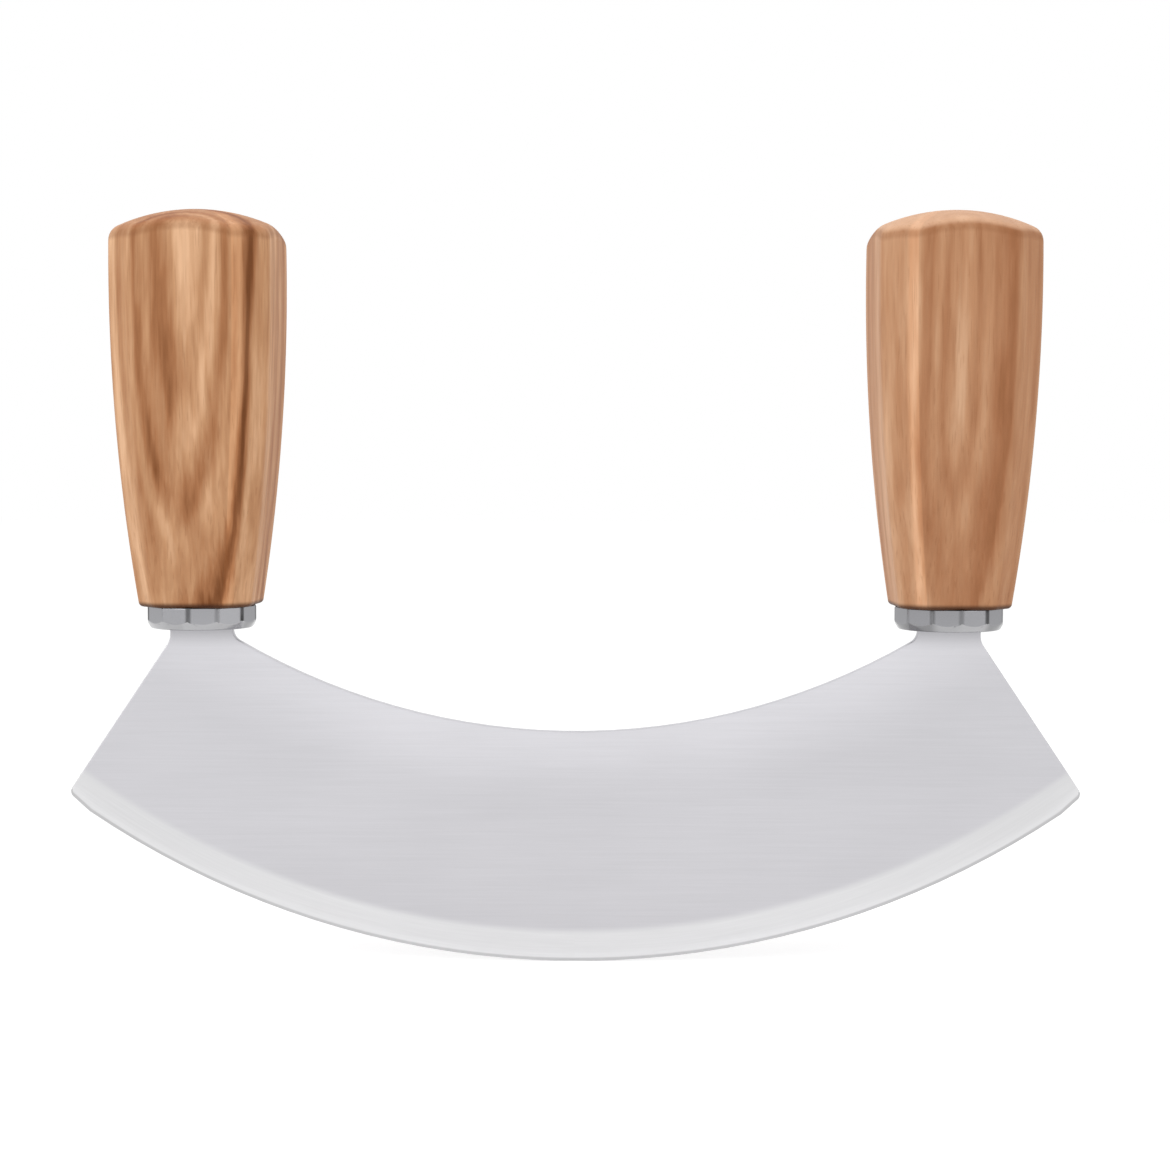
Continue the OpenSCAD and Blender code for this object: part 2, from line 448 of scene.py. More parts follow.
class Nodes:
    """Adds and links shader nodes in a short form."""

    def __init__(self, tree):
        self.tree = tree

    def add(self, kind, **settings):
        node = self.tree.nodes.new(kind)
        node.location = (len(self.tree.nodes) * 180, 0)
        for name, value in settings.items():
            setattr(node, name, value)
        return node

    def put(self, sockets, *values):
        """Links each socket in turn to its value's source, or sets it to its constant."""
        for socket, value in zip(sockets, values):
            if isinstance(value, bpy.types.NodeSocket):
                self.tree.links.new(value, socket)
            else:
                socket.default_value = value

    def fill(self, sockets, **values):
        """Puts each value on the socket of its name, where an underscore stands for a space."""
        self.put([sockets[name.replace("_", " ")] for name in values], *values.values())

    def place(self):
        return self.add("ShaderNodeTexCoord").outputs["Object"]

    def math(self, operation, *values):
        node = self.add("ShaderNodeMath", operation=operation)
        self.put(node.inputs, *values)
        return node.outputs[0]

    def linear(self, value, gain, base):
        return self.math("MULTIPLY_ADD", value, gain, base)

    def times(self, value, mask, gain, base=1.0):
        """The value, times the base plus the gain times the mask."""
        return self.math("MULTIPLY", value, self.linear(mask, gain, base))

    def vary(self, value, source, amount):
        """The value, moved up and down by a source that goes from 0 to 1."""
        return self.linear(source, amount, self.math("SUBTRACT", value, amount / 2))

    def vector(self, operation, *values):
        node = self.add("ShaderNodeVectorMath", operation=operation)
        self.put(node.inputs, *values)
        return node.outputs["Value"] if operation == "LENGTH" else node.outputs[0]

    def scaled(self, vector, factor):
        node = self.add("ShaderNodeVectorMath", operation="SCALE")
        self.fill(node.inputs, Vector=vector, Scale=factor)
        return node.outputs[0]

    def split(self, vector):
        """The vector's X, Y and Z."""
        node = self.add("ShaderNodeSeparateXYZ")
        self.put(node.inputs, vector)
        return tuple(node.outputs)

    def join(self, *values):
        """A vector from its X, Y and Z."""
        node = self.add("ShaderNodeCombineXYZ")
        self.put(node.inputs, *values)
        return node.outputs[0]

    def between(self, factor, first, second):
        """A number between two others."""
        node = self.add("ShaderNodeMix", data_type="FLOAT")
        self.put((node.inputs["Factor"], *node.inputs[2:4]), factor, first, second)
        return node.outputs[0]

    def mix(self, factor, first, second, blend="MIX"):
        """A colour between two others, or their blend."""
        node = self.add("ShaderNodeMix", data_type="RGBA", blend_type=blend, clamp_factor=True)
        self.put((node.inputs["Factor"], *node.inputs[6:8]), factor, first, second)
        return node.outputs[2]

    def shaded(self, colour, shade):
        """The colour times one number on all three channels."""
        grey = self.add("ShaderNodeCombineColor")
        self.put(grey.inputs, shade, shade, shade)
        return self.mix(1.0, colour, grey.outputs[0], "MULTIPLY")

    def smooth_step(self, value, low, high):
        node = self.add("ShaderNodeMapRange", interpolation_type="SMOOTHSTEP")
        self.fill(node.inputs, Value=value, From_Min=low, From_Max=high)
        return node.outputs["Result"]

    def fade(self, value, low, high):
        """1 below the low value, 0 above the high one."""
        return self.math("SUBTRACT", 1.0, self.smooth_step(value, low, high))

    def noise(self, vector, scale, detail=2.0, roughness=0.5, output=0):
        node = self.add("ShaderNodeTexNoise", noise_dimensions="3D")
        self.fill(node.inputs, Vector=vector, Scale=scale, Detail=detail, Roughness=roughness)
        return node.outputs[output]

    def dice(self, value):
        """A random number from 0 to 1, the same for the same value."""
        node = self.add("ShaderNodeTexWhiteNoise", noise_dimensions="1D")
        self.fill(node.inputs, W=value)
        return node.outputs["Value"]

    def ramp(self, value, stops, interpolation="LINEAR"):
        """The colour at a value, from stops that each have a position and a colour."""
        node = self.add("ShaderNodeValToRGB")
        node.color_ramp.interpolation = interpolation
        made = node.color_ramp.elements
        for index, (position, colour) in enumerate(stops):
            stop = made[index] if index < 2 else made.new(position)
            stop.position = position
            stop.color = colour
        self.put(node.inputs, value)
        return node.outputs[0]

    def bump(self, height, strength, distance):
        node = self.add("ShaderNodeBump")
        self.fill(node.inputs, Height=height, Strength=strength, Distance=distance)
        return node.outputs[0]


def new_group(name, inputs, outputs):
    """A new node group: its nodes' helper, its inputs and its outputs; a tuple makes a vector input."""
    group = bpy.data.node_groups.new(name, "ShaderNodeTree")
    for socket, default in inputs.items():
        kind = "NodeSocketVector" if isinstance(default, tuple) else "NodeSocketFloat"
        made = group.interface.new_socket(socket, in_out="INPUT", socket_type=kind)
        made.default_value = default
    for socket in outputs:
        group.interface.new_socket(socket, in_out="OUTPUT", socket_type="NodeSocketFloat")
    nodes = Nodes(group)
    return nodes, nodes.add("NodeGroupInput").outputs, nodes.add("NodeGroupOutput").inputs


def use_group(nodes, name, **values):
    node = nodes.add("ShaderNodeGroup", label=name, node_tree=bpy.data.node_groups[name])
    nodes.fill(node.inputs, **values)
    return node.outputs


def new_material(name):
    """A new material, its nodes' helper and the sockets of its shader."""
    material = bpy.data.materials.new(name)
    material.use_nodes = True
    tree = material.node_tree
    tree.nodes.clear()
    nodes = Nodes(tree)
    shader = nodes.add("ShaderNodeBsdfPrincipled")
    output = nodes.add("ShaderNodeOutputMaterial")
    nodes.fill(output.inputs, Surface=shader.outputs["BSDF"])
    return material, nodes, shader.inputs


# Shared effects

def growth_ring_group():
    """Growth rings about a leaning pith: radius, side of the pith, and a random tone for each ring."""
    nodes, given, made = new_group(
        "Growth rings",
        {"Vector": (0, 0, 0), "Pith": (0, 0, 0), "Lean": (0, 0, 0), "Ring Width": 2.4 * MM,
         "Waver": 1.0 * MM, "Seed": 0.0},
        ("Radius", "Side", "Tone"))
    seeded = nodes.join(given["Seed"])
    about = nodes.vector("SUBTRACT", given["Vector"], given["Pith"])
    height = nodes.split(about)[2]
    upright = nodes.vector("SUBTRACT", about, nodes.scaled(given["Lean"], height))

    # Three layers bend the rings, each finer, more drawn out along the wood and weaker
    for scale, stretch, share in ((90, 0.25, 1.0), (420, 0.08, 0.55), (1500, 0.03, 0.5)):
        stretched = nodes.vector("MULTIPLY", given["Vector"], (1, 1, stretch))
        waves = nodes.noise(nodes.vector("ADD", stretched, seeded), scale, output="Color")
        bend = nodes.vector("SUBTRACT", waves, (0.5, 0.5, 0.5))
        reach = nodes.math("MULTIPLY", given["Waver"], share)
        upright = nodes.vector("ADD", upright, nodes.scaled(bend, reach))
    across = nodes.vector("MULTIPLY", upright, (1, 1, 0))
    radius = nodes.vector("LENGTH", across)
    sideways = nodes.split(nodes.vector("NORMALIZE", across))[0]
    count = nodes.math("ADD", nodes.math("DIVIDE", radius, given["Ring Width"]), given["Seed"])
    ring, next_ring = [nodes.dice(nodes.math("FLOOR", nodes.math("ADD", count, step)))
                       for step in (0.0, 1.0)]
    within = nodes.smooth_step(nodes.math("FRACT", count), 0.5, 1.0)
    nodes.fill(made, Radius=radius, Side=sideways, Tone=nodes.between(within, ring, next_ring))


def fibre_group():
    """Fine streaks and short pores that run along the wood."""
    nodes, given, made = new_group(
        "Wood fibres", {"Vector": (0, 0, 0), "Seed": 0.0}, ("Streak", "Fine", "Pore"))
    shifted = nodes.vector("ADD", given["Vector"], nodes.join(0.0, given["Seed"]))

    def drawn_out(stretch, scale, **settings):
        return nodes.noise(nodes.vector("MULTIPLY", shifted, (1, 1, stretch)), scale, **settings)

    dots = drawn_out(0.05, 2600, detail=0)
    nodes.fill(made, Streak=drawn_out(0.11, 340, detail=3, roughness=0.6),
               Fine=drawn_out(0.04, 1500), Pore=nodes.smooth_step(dots, 0.66, 0.74))


def grinding_group():
    """Fine lines of a belt grinder that run along X of the given vector, and broad faint clouds."""
    nodes, given, made = new_group(
        "Grinding lines", {"Vector": (0, 0, 0), "Length": 0.02}, ("Lines", "Cloud"))
    drawn_out = nodes.vector("MULTIPLY", given["Vector"], nodes.join(given["Length"], 1, 1))
    broad = nodes.vector("MULTIPLY", given["Vector"], (0.5, 1, 1))
    nodes.fill(made, Lines=nodes.noise(drawn_out, 2600, detail=3, roughness=0.65),
               Cloud=nodes.noise(broad, 42))


def corner_highlight_group():
    """A mask along the corners beside a handle's front and back flats, for a painted highlight there."""
    nodes, given, made = new_group(
        "Corner highlight",
        {"Vector": (0, 0, 0), "Axis": (0, 0, 0), "Turn": 0.0, "Corner": math.radians(32),
         "Width": 1.4 * MM},
        ("Mask",))
    turned = nodes.add("ShaderNodeVectorRotate", rotation_type="Z_AXIS")
    nodes.fill(turned.inputs, Vector=nodes.vector("SUBTRACT", given["Vector"], given["Axis"]),
               Angle=nodes.math("MULTIPLY", given["Turn"], -1.0))
    flat = nodes.vector("MULTIPLY", nodes.vector("ABSOLUTE", turned.outputs[0]), (1, 1, 0))
    x, y, _ = nodes.split(flat)
    angle = nodes.math("ARCTAN2", nodes.math("MINIMUM", x, y), nodes.math("MAXIMUM", x, y))
    past = nodes.math("SUBTRACT", angle, given["Corner"])
    distance = nodes.math("MULTIPLY", past, nodes.vector("LENGTH", flat))
    share = nodes.math("DIVIDE", distance, given["Width"])
    near = nodes.math("SUBTRACT", nodes.smooth_step(share, -1.0, -0.75),
                      nodes.smooth_step(share, 0.3, 1.1))
    broad = nodes.smooth_step(nodes.math("SUBTRACT", y, x), 0.0, 1 * MM)
    nodes.fill(made, Mask=nodes.math("MULTIPLY", near, broad))


# Flats round a ferrule, and the seeds of the random draws for its facets and for its corners
FERRULE_SIDES = 12
FACET_CHANCE = 3223.5
CORNER_CHANCE = 654.25


def facet_group():
    """What differs round both ferrules: a painted reflection level on each facet, and painted dark
    reflections in some corners.
    """
    nodes, given, made = new_group(
        "Ferrule facets",
        {"Vector": (0, 0, 0), "Axis": 0.0, "First Corner": 0.0, "Across": 21 * MM},
        ("Tone", "Soft Tone", "Filled Corner"))
    x, y, _ = nodes.split(given["Vector"])
    outward = nodes.math("SUBTRACT", nodes.math("ABSOLUTE", x), given["Axis"])
    side = nodes.math("SIGN", x)
    sector = 2 * math.pi / FERRULE_SIDES
    turn = nodes.math("SUBTRACT", nodes.math("ARCTAN2", y, outward), given["First Corner"])
    count = nodes.math("DIVIDE", turn, sector)

    def chance(steps, offset):
        """A random value for each whole step, another on each side."""
        step = nodes.math("FLOORED_MODULO", nodes.math("FLOOR", steps), FERRULE_SIDES)
        return nodes.dice(nodes.linear(side, offset, step))

    nearest = nodes.math("ADD", count, 0.5)
    within = nodes.math("FRACT", nearest)
    off = nodes.math("ABSOLUTE", nodes.math("SUBTRACT", within, 0.5))
    distance = nodes.math("MULTIPLY", nodes.math("MULTIPLY", off, sector / 2), given["Across"])
    corner = nodes.fade(distance, 0.2 * MM, 0.75 * MM)
    before = chance(nodes.math("SUBTRACT", count, 0.5), FACET_CHANCE)
    after = chance(nearest, FACET_CHANCE)
    nodes.fill(made, Tone=chance(count, FACET_CHANCE),
               Soft_Tone=nodes.between(nodes.smooth_step(within, 0.2, 0.8), before, after),
               Filled_Corner=nodes.math("MULTIPLY", corner, chance(nearest, CORNER_CHANCE)))


def use_facets(nodes, place, sizes):
    return use_group(nodes, "Ferrule facets", Vector=place, Axis=HandlePlace("right").axis,
                     First_Corner=math.pi / FERRULE_SIDES - sizes.ferrule_turn,
                     Across=sizes.ferrule_across)


# Metals and adhesive

def distance_from(nodes, place, height):
    """Distance, in the plane of the blade, from the point at a height above its middle."""
    about = nodes.vector("SUBTRACT", place, (0, 0, height))
    return nodes.vector("LENGTH", nodes.vector("MULTIPLY", about, (1, 0, 1)))


def edge_masks(nodes, sizes, x, z, reach):
    """Masks of the ground bevel, of the honed line along the edge and of the painted glint beside it."""
    bevel_start = sizes.edge_radius - sizes.bevel_width
    blend = 0.9 * MM
    on_bevel = nodes.smooth_step(reach, bevel_start - blend, bevel_start + blend)

    # Depth in from the cutting edge's arc, or from the steeper stretch at each tip
    relief_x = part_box("blade")[1].x - sizes.tip_relief
    relief_angle = math.asin(relief_x / sizes.edge_radius) + sizes.tip_lift
    across_relief = nodes.linear(nodes.math("ABSOLUTE", x), -math.sin(relief_angle),
                                 nodes.math("MULTIPLY", z, math.cos(relief_angle)))
    relief_depth = nodes.math("ADD", across_relief, sizes.edge_radius * math.cos(sizes.tip_lift))
    depth = nodes.math("MINIMUM", nodes.math("SUBTRACT", sizes.edge_radius, reach), relief_depth)
    width = sizes.honed_width
    honed = nodes.fade(depth, 0.7 * width, 1.3 * width)
    glint = nodes.math("SUBTRACT", nodes.smooth_step(depth, width, 1.5 * width),
                       nodes.smooth_step(depth, 1.8 * width, 4 * width))
    return on_bevel, honed, glint


def blade_steel(sizes, colours):
    """Satin steel with lengthwise grinding lines, and a brighter bevel with a honed line at the edge."""
    material, nodes, surface = new_material("Satin blade steel")
    place = nodes.place()
    reach = distance_from(nodes, place, sizes.edge_radius)
    x, y, z = nodes.split(nodes.vector("SUBTRACT", place, (0, 0, sizes.edge_radius)))
    on_bevel, honed, glint = edge_masks(nodes, sizes, x, z, reach)

    # Grinding lines run along the blade, and round the bevel along its arc
    lines = use_group(nodes, "Grinding lines", Vector=place, Length=0.02)
    along_edge = nodes.math("MULTIPLY", nodes.math("ARCTAN2", x, z), sizes.edge_radius)
    edge_lines = use_group(nodes, "Grinding lines", Vector=nodes.join(along_edge, y, reach), Length=0.03)
    line = nodes.between(on_bevel, lines["Lines"], edge_lines["Lines"])

    # Painted highlight brightens the steel towards the arch, and painted shade darkens the neck just
    # below each ferrule
    arch_reach = distance_from(nodes, place, sizes.middle_height + sizes.arch_radius)
    painted_arch_highlight = nodes.fade(nodes.math("SUBTRACT", arch_reach, sizes.arch_radius), 0.0, 17 * MM)
    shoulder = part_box("left_ferrule")[0].z - sizes.edge_radius
    painted_neck_shade = nodes.smooth_step(z, shoulder - 4.5 * MM, shoulder + 0.5 * MM)
    shade = nodes.times(nodes.linear(lines["Cloud"], 0.16, 0.92), painted_arch_highlight, 0.14)
    shade = nodes.times(shade, painted_neck_shade, -0.29)
    colour = nodes.mix(on_bevel, nodes.shaded((*colours.blade, 1), shade), (*colours.bevel, 1))

    # The honed line is painted darker with a painted glint beside it, as painted reflections of the
    # honed edge, and the bevel darkens towards the tips
    towards_tip = nodes.smooth_step(nodes.math("ABSOLUTE", x), 35 * MM, 95 * MM)
    lit = nodes.times(nodes.linear(line, 0.14, 0.93), honed, -0.24)
    lit = nodes.times(lit, glint, 0.06)
    lit = nodes.times(lit, nodes.math("MULTIPLY", towards_tip, on_bevel), -0.09)
    nodes.fill(surface, Base_Color=nodes.shaded(colour, lit), Metallic=1,
               Roughness=nodes.linear(line, 0.14, 0.30), Normal=nodes.bump(line, 0.08, 0.05 * MM))
    return material


def sheared_steel(colours):
    """The sheet's cut ends and necks, rougher than its flats and painted darker as a painted reflection
    of darker surroundings.
    """
    material, nodes, surface = new_material("Sheared blade outline")
    marks = use_group(nodes, "Grinding lines", Vector=nodes.place(), Length=0.5)
    shade = nodes.linear(marks["Lines"], 0.3, 0.85)
    nodes.fill(surface, Base_Color=nodes.shaded((*colours.sheared, 1), shade), Metallic=1,
               Roughness=nodes.linear(marks["Lines"], 0.2, 0.4))
    return material


def ferrule_steel(sizes, colours):
    """Polished steel with a painted reflection level of its own on each facet, and painted dark
    reflections along some corners.
    """
    material, nodes, surface = new_material("Polished ferrule steel")
    place = nodes.place()
    lines = use_group(nodes, "Grinding lines", Vector=place, Length=0.2)
    facets = use_facets(nodes, place, sizes)
    # Painted reflections: a brightness for each facet, and dark lines in some corners that also turn
    # matte and less metallic so that highlights don't lift them
    dark_line_variation = nodes.noise(nodes.vector("MULTIPLY", place, (1, 1, 0.4)), 700)
    painted_dark_corners = nodes.times(facets["Filled Corner"], dark_line_variation, 0.6, 0.6)
    shade = nodes.times(nodes.linear(lines["Cloud"], 0.12, 0.94), facets["Tone"], 0.26, 0.82)
    shade = nodes.times(shade, painted_dark_corners, -0.9)
    polish = nodes.linear(lines["Lines"], 0.10, 0.14)
    nodes.fill(surface, Base_Color=nodes.shaded((*colours.ferrule, 1), shade),
               Roughness=nodes.linear(painted_dark_corners, 0.4, polish), Metallic=nodes.linear(painted_dark_corners, -0.8, 1.0))
    return material


def chamfer_steel(sizes, colours):
    """The turned chamfer round a ferrule's lower rim, brighter than its flats partly for its turned
    finish and partly as a painted reflection of the floor, and painted darker below the darker facets.
    """
    material, nodes, surface = new_material("Turned ferrule rim")
    place = nodes.place()
    marks = use_group(nodes, "Grinding lines", Vector=place, Length=1.0)
    painted_rim_reflection = nodes.smooth_step(use_facets(nodes, place, sizes)["Soft Tone"], 0.1, 0.45)
    shade = nodes.times(nodes.linear(marks["Cloud"], 0.3, 0.85), painted_rim_reflection, 0.4, 0.6)
    nodes.fill(surface, Base_Color=nodes.shaded((*colours.chamfer, 1), shade), Metallic=1,
               Roughness=nodes.linear(marks["Lines"], 0.1, 0.16))
    return material


def set_glue(colours):
    """Amber epoxy, slightly cloudy."""
    material, nodes, surface = new_material("Set adhesive")
    cloud = nodes.noise(nodes.place(), 300, detail=3)
    nodes.fill(surface, Base_Color=nodes.shaded((*colours.glue, 1), nodes.linear(cloud, 0.2, 0.9)),
               Roughness=nodes.linear(cloud, 0.2, 0.25))
    return material


# Wood

def srgb(red, green, blue):
    """A linear colour from the 0 to 255 values of a screen."""
    def linear(channel):
        value = channel / 255
        return value / 12.92 if value <= 0.04045 else ((value + 0.055) / 1.055) ** 2.4
    return (linear(red), linear(green), linear(blue), 1)


class WoodLook(NamedTuple):
    """One handle's board, with places from the middle of the handle."""

    tones: tuple  # Four colours from light to dark
    pith: tuple  # Where the rings' centre lies, in X and Y
    lean: tuple  # How far the pith leans for each unit of height
    waver: float  # How far the rings bend out of round
    seed: float
    # The bands carry growth rings together with painted shade of the facets on that side of the pith
    left_bands: tuple  # Bands left of the pith: a radius in millimetres, and how dark it is there
    right_bands: tuple
    ring_width: float  # Width of the random rings outside the bands
    contrast: float  # How much those rings differ in darkness
    streaks: float  # How much the streaks along the wood differ in darkness
    vein: tuple  # Radius and strength of a dark vein right of the pith, or None
    dome: tuple  # Colour of the dome's end grain, and how much of it shows


WOODS = {
    "left": WoodLook(
        tones=(srgb(234, 187, 147), srgb(200, 150, 110), srgb(172, 117, 78), srgb(130, 78, 42)),
        pith=(-1.0 * MM, -23.0 * MM), lean=(0, 0.06, 0), waver=2.0 * MM, seed=3.37,
        left_bands=((5.3, 0.3), (7.6, 0.7), (9.0, 0.46), (10.5, 0.78), (12.0, 0.28), (13.6, 0.4),
                    (15.4, 0.45), (17.4, 0.12)),
        right_bands=((5.6, 0.0), (7.5, 0.36), (8.8, 0.08), (10.4, 0.62), (11.8, 0.3), (13.3, 0.38),
                     (15.3, 0.96), (17.4, 0.24)),
        ring_width=2.6 * MM, contrast=0.45, streaks=1.1, vein=(15.3 * MM, 0.45),
        dome=(srgb(176, 116, 82), 0.35)),
    "right": WoodLook(
        tones=(srgb(218, 173, 137), srgb(192, 141, 104), srgb(168, 113, 77), srgb(140, 88, 52)),
        pith=(-0.8 * MM, -16.2 * MM), lean=(0.02, 0.07, 0), waver=1.6 * MM, seed=8.61,
        left_bands=((0.4, 0.0), (2.0, 0.34), (3.3, 0.54), (4.5, 0.36), (6.2, 0.54), (7.5, 0.48),
                    (9.0, 0.18), (10.9, 0.3), (14.0, 0.2)),
        right_bands=((0.4, 0.0), (1.6, 0.3), (3.2, 0.52), (4.4, 0.34), (6.4, 0.5), (9.1, 0.7),
                     (10.6, 0.36), (13.0, 0.44)),
        ring_width=1.5 * MM, contrast=0.36, streaks=0.75, vein=None, dome=(srgb(232, 189, 156), 0.54)),
}
# Radius that the bands' ramp spans, and where the random rings take over from the bands
BAND_SPAN = 20 * MM
RANDOM_FROM = 18 * MM
RANDOM_WHOLLY = 20.5 * MM

VEIN_BROWN = srgb(104, 58, 26)
# Painted shadow where the wood meets the ferrule, together with the end grain's darker oil stain
FOOT_SHADOW_AND_STAIN = srgb(66, 36, 20)
# How far the painted corner highlight's mask is turned from the sharp corner, towards the diagonal flat
HIGHLIGHT_PAST_CORNER = math.radians(3.8)


def band_ramp(nodes, radius, bands):
    """How dark the wood is at a radius from the pith."""
    stops = [(place * MM / BAND_SPAN, (darkness, darkness, darkness, 1)) for place, darkness in bands]
    return nodes.ramp(nodes.math("DIVIDE", radius, BAND_SPAN), stops, "EASE")


def board_colour(nodes, place, rings, fibres, look):
    """Bands near the pith that pass into random rings farther out, with a dark vein."""
    right_side = nodes.smooth_step(rings["Side"], -0.3, 0.3)
    # The bands on each side of the pith are growth rings with painted facet shade mixed in
    bands = nodes.mix(right_side, band_ramp(nodes, rings["Radius"], look.left_bands),
                      band_ramp(nodes, rings["Radius"], look.right_bands))
    outer = nodes.linear(rings["Tone"], look.contrast, 0.2)
    farther = nodes.smooth_step(rings["Radius"], RANDOM_FROM, RANDOM_WHOLLY)
    darkness = nodes.between(farther, nodes.vary(bands, rings["Tone"], 0.1), outer)
    clouds = nodes.noise(nodes.vector("MULTIPLY", place, (1, 1, 0.3)), 90)
    darkness = nodes.vary(nodes.vary(darkness, clouds, 0.3), fibres["Streak"], look.streaks)
    colour = nodes.ramp(darkness, zip((0.0, 0.33, 0.67, 1.0), look.tones))
    if look.vein:
        radius, strength = look.vein
        off_vein = nodes.math("ABSOLUTE", nodes.math("SUBTRACT", rings["Radius"], radius))
        vein = nodes.math("MULTIPLY", nodes.fade(off_vein, 0.1 * MM, 0.7 * MM), right_side)
        colour = nodes.mix(nodes.math("MULTIPLY", vein, strength), colour, VEIN_BROWN)
    return colour


def painted_corner_highlights(nodes, place, x, stand, sizes):
    """A mask of the painted corner highlights, strongest on the side towards the blade's middle."""
    highlight_band = use_group(nodes, "Corner highlight", Vector=place, Axis=(stand.axis, 0, 0),
                     Turn=stand.outward * sizes.handle_turn,
                     Corner=math.atan2(sizes.flat_width, sizes.handle_across) + HIGHLIGHT_PAST_CORNER)
    inward = nodes.linear(x, -stand.outward, stand.axis * stand.outward)
    return nodes.math("MULTIPLY", highlight_band["Mask"], nodes.smooth_step(inward, -6 * MM, 6 * MM))


def dome_masks(nodes, place, z, stand, sizes):
    """Masks of the dome's end grain and of a darker line just inside its edge."""
    dome_centre = (stand.axis, 0, stand.top - sizes.dome_radius)
    reach = nodes.vector("LENGTH", nodes.vector("SUBTRACT", place, dome_centre))
    inside = nodes.math("SUBTRACT", sizes.dome_radius, reach)
    off_rim = nodes.math("ABSOLUTE", nodes.math("SUBTRACT", inside, 0.9 * MM))
    above = nodes.smooth_step(z, stand.top - 14 * MM, stand.top - 12 * MM)
    on_dome = nodes.math("MULTIPLY", nodes.fade(inside, 0.1 * MM, 0.7 * MM), above)
    on_rim = nodes.math("MULTIPLY", nodes.fade(off_rim, 0.1 * MM, 1.0 * MM), above)
    return on_dome, on_rim


def handle_wood(side, look, sizes):
    """Oiled wood: growth rings cut through by the flats, fine fibres, painted corner highlights and a
    foot darkened by painted shadow and oil stain.
    """
    material, nodes, surface = new_material(side.capitalize() + " handle wood")
    stand = HandlePlace(side)
    place = nodes.place()
    x, _, z = nodes.split(place)
    pith = (stand.axis + look.pith[0], look.pith[1], (stand.foot + stand.top) / 2)
    rings = use_group(nodes, "Growth rings", Vector=place, Pith=pith, Lean=look.lean,
                      Ring_Width=look.ring_width, Waver=look.waver, Seed=look.seed)
    fibres = use_group(nodes, "Wood fibres", Vector=place, Seed=look.seed)
    # Fine fibres vary the colour, and a painted highlight lightens the corners
    light = nodes.times(nodes.linear(fibres["Fine"], 0.2, 0.9),
                        painted_corner_highlights(nodes, place, x, stand, sizes), 0.26)
    colour = nodes.shaded(board_colour(nodes, place, rings, fibres, look), light)

    dome_colour, dome_share = look.dome
    on_dome, on_rim = dome_masks(nodes, place, z, stand, sizes)
    # The foot darkens with painted shadow of the joint and the end grain's oil stain
    foot_shadow_and_stain = nodes.fade(z, stand.foot + 0.3 * MM, stand.foot + 1.3 * MM)
    for mask, share, stain in (
            (on_dome, dome_share, dome_colour), (on_rim, 0.35, look.tones[3]),
            (fibres["Pore"], 0.16, look.tones[3]), (foot_shadow_and_stain, 0.9, FOOT_SHADOW_AND_STAIN)):
        colour = nodes.mix(nodes.math("MULTIPLY", mask, share), colour, stain)
    grain = nodes.math("SUBTRACT", fibres["Fine"], nodes.math("MULTIPLY", fibres["Pore"], 0.7))
    nodes.fill(surface, Base_Color=colour, Roughness=nodes.linear(fibres["Fine"], 0.16, 0.44),
               Normal=nodes.bump(grain, 0.2, 0.06 * MM), Specular_IOR_Level=0.12)
    return material


# Operators, one for each piece or pair of like pieces

class MEZZALUNA_OT_finishes(bpy.types.Operator):
    """Builds the node groups that the finishes share."""
    bl_idname = "mezzaluna.finishes"
    bl_label = "Shared Finishes"

    def execute(self, context):
        growth_ring_group()
        fibre_group()
        grinding_group()
        corner_highlight_group()
        facet_group()
        return {"FINISHED"}


class MEZZALUNA_OT_blade(bpy.types.Operator):
    """Breaks the sharp outline of the blade and gives it its satin and its ground bevel."""
    bl_idname = "mezzaluna.blade"
    bl_label = "Blade"

    def execute(self, context):
        sizes = context.scene.mezzaluna_sizes
        colours = context.scene.mezzaluna_colours
        piece = copy_of_node("blade", "ground_blade")
        edge_centre = Vector((0, 0, sizes.edge_radius))
        arch_centre = Vector((0, 0, sizes.middle_height + sizes.arch_radius))

        def outline(edge):
            """A sharp edge that isn't the cutting edge."""
            middle = (edge.verts[0].co + edge.verts[1].co) / 2
            inside = (middle - edge_centre).length < sizes.edge_radius - MM
            return edge.calc_face_angle() > BLADE_SHARP and inside

        def sheared(face):
            """A face across the sheet's thickness, apart from those along the arch, which keep the
            blade's steel with its painted highlight.
            """
            middle = face.calc_center_median()
            to_arch = (Vector((middle.x, 0, middle.z)) - arch_centre).length - sizes.arch_radius
            return abs(face.normal.y) < 0.9 and to_arch > 0.5 * MM

        bevel_edges(piece, outline, sizes.blade_edge_round, 2)
        smooth(piece, BLADE_SHARP)
        dress(piece, "blade", "blade_steel", blade_steel(sizes, colours), sheared_steel(colours))
        paint_faces(piece, 1, sheared)
        return {"FINISHED"}


class MEZZALUNA_OT_ferrules(bpy.types.Operator):
    """Breaks the edges of both ferrules and polishes them."""
    bl_idname = "mezzaluna.ferrules"
    bl_label = "Ferrules"

    def execute(self, context):
        sizes = context.scene.mezzaluna_sizes
        colours = context.scene.mezzaluna_colours
        materials = ferrule_steel(sizes, colours), chamfer_steel(sizes, colours)
        for side in WOODS:
            piece = copy_of_node(side + "_ferrule", side + "_polished_ferrule")
            bevel_edges(piece, lambda edge: edge.calc_face_angle() > FERRULE_SHARP,
                        sizes.ferrule_edge_round, 3)
            smooth(piece, FERRULE_SHARP)
            dress(piece, side + "_ferrule", "ferrule_steel", *materials)
            # The chamfer's faces look outwards and down
            paint_faces(piece, 1, lambda face: -0.9 < face.normal.z < -0.25)
        return {"FINISHED"}


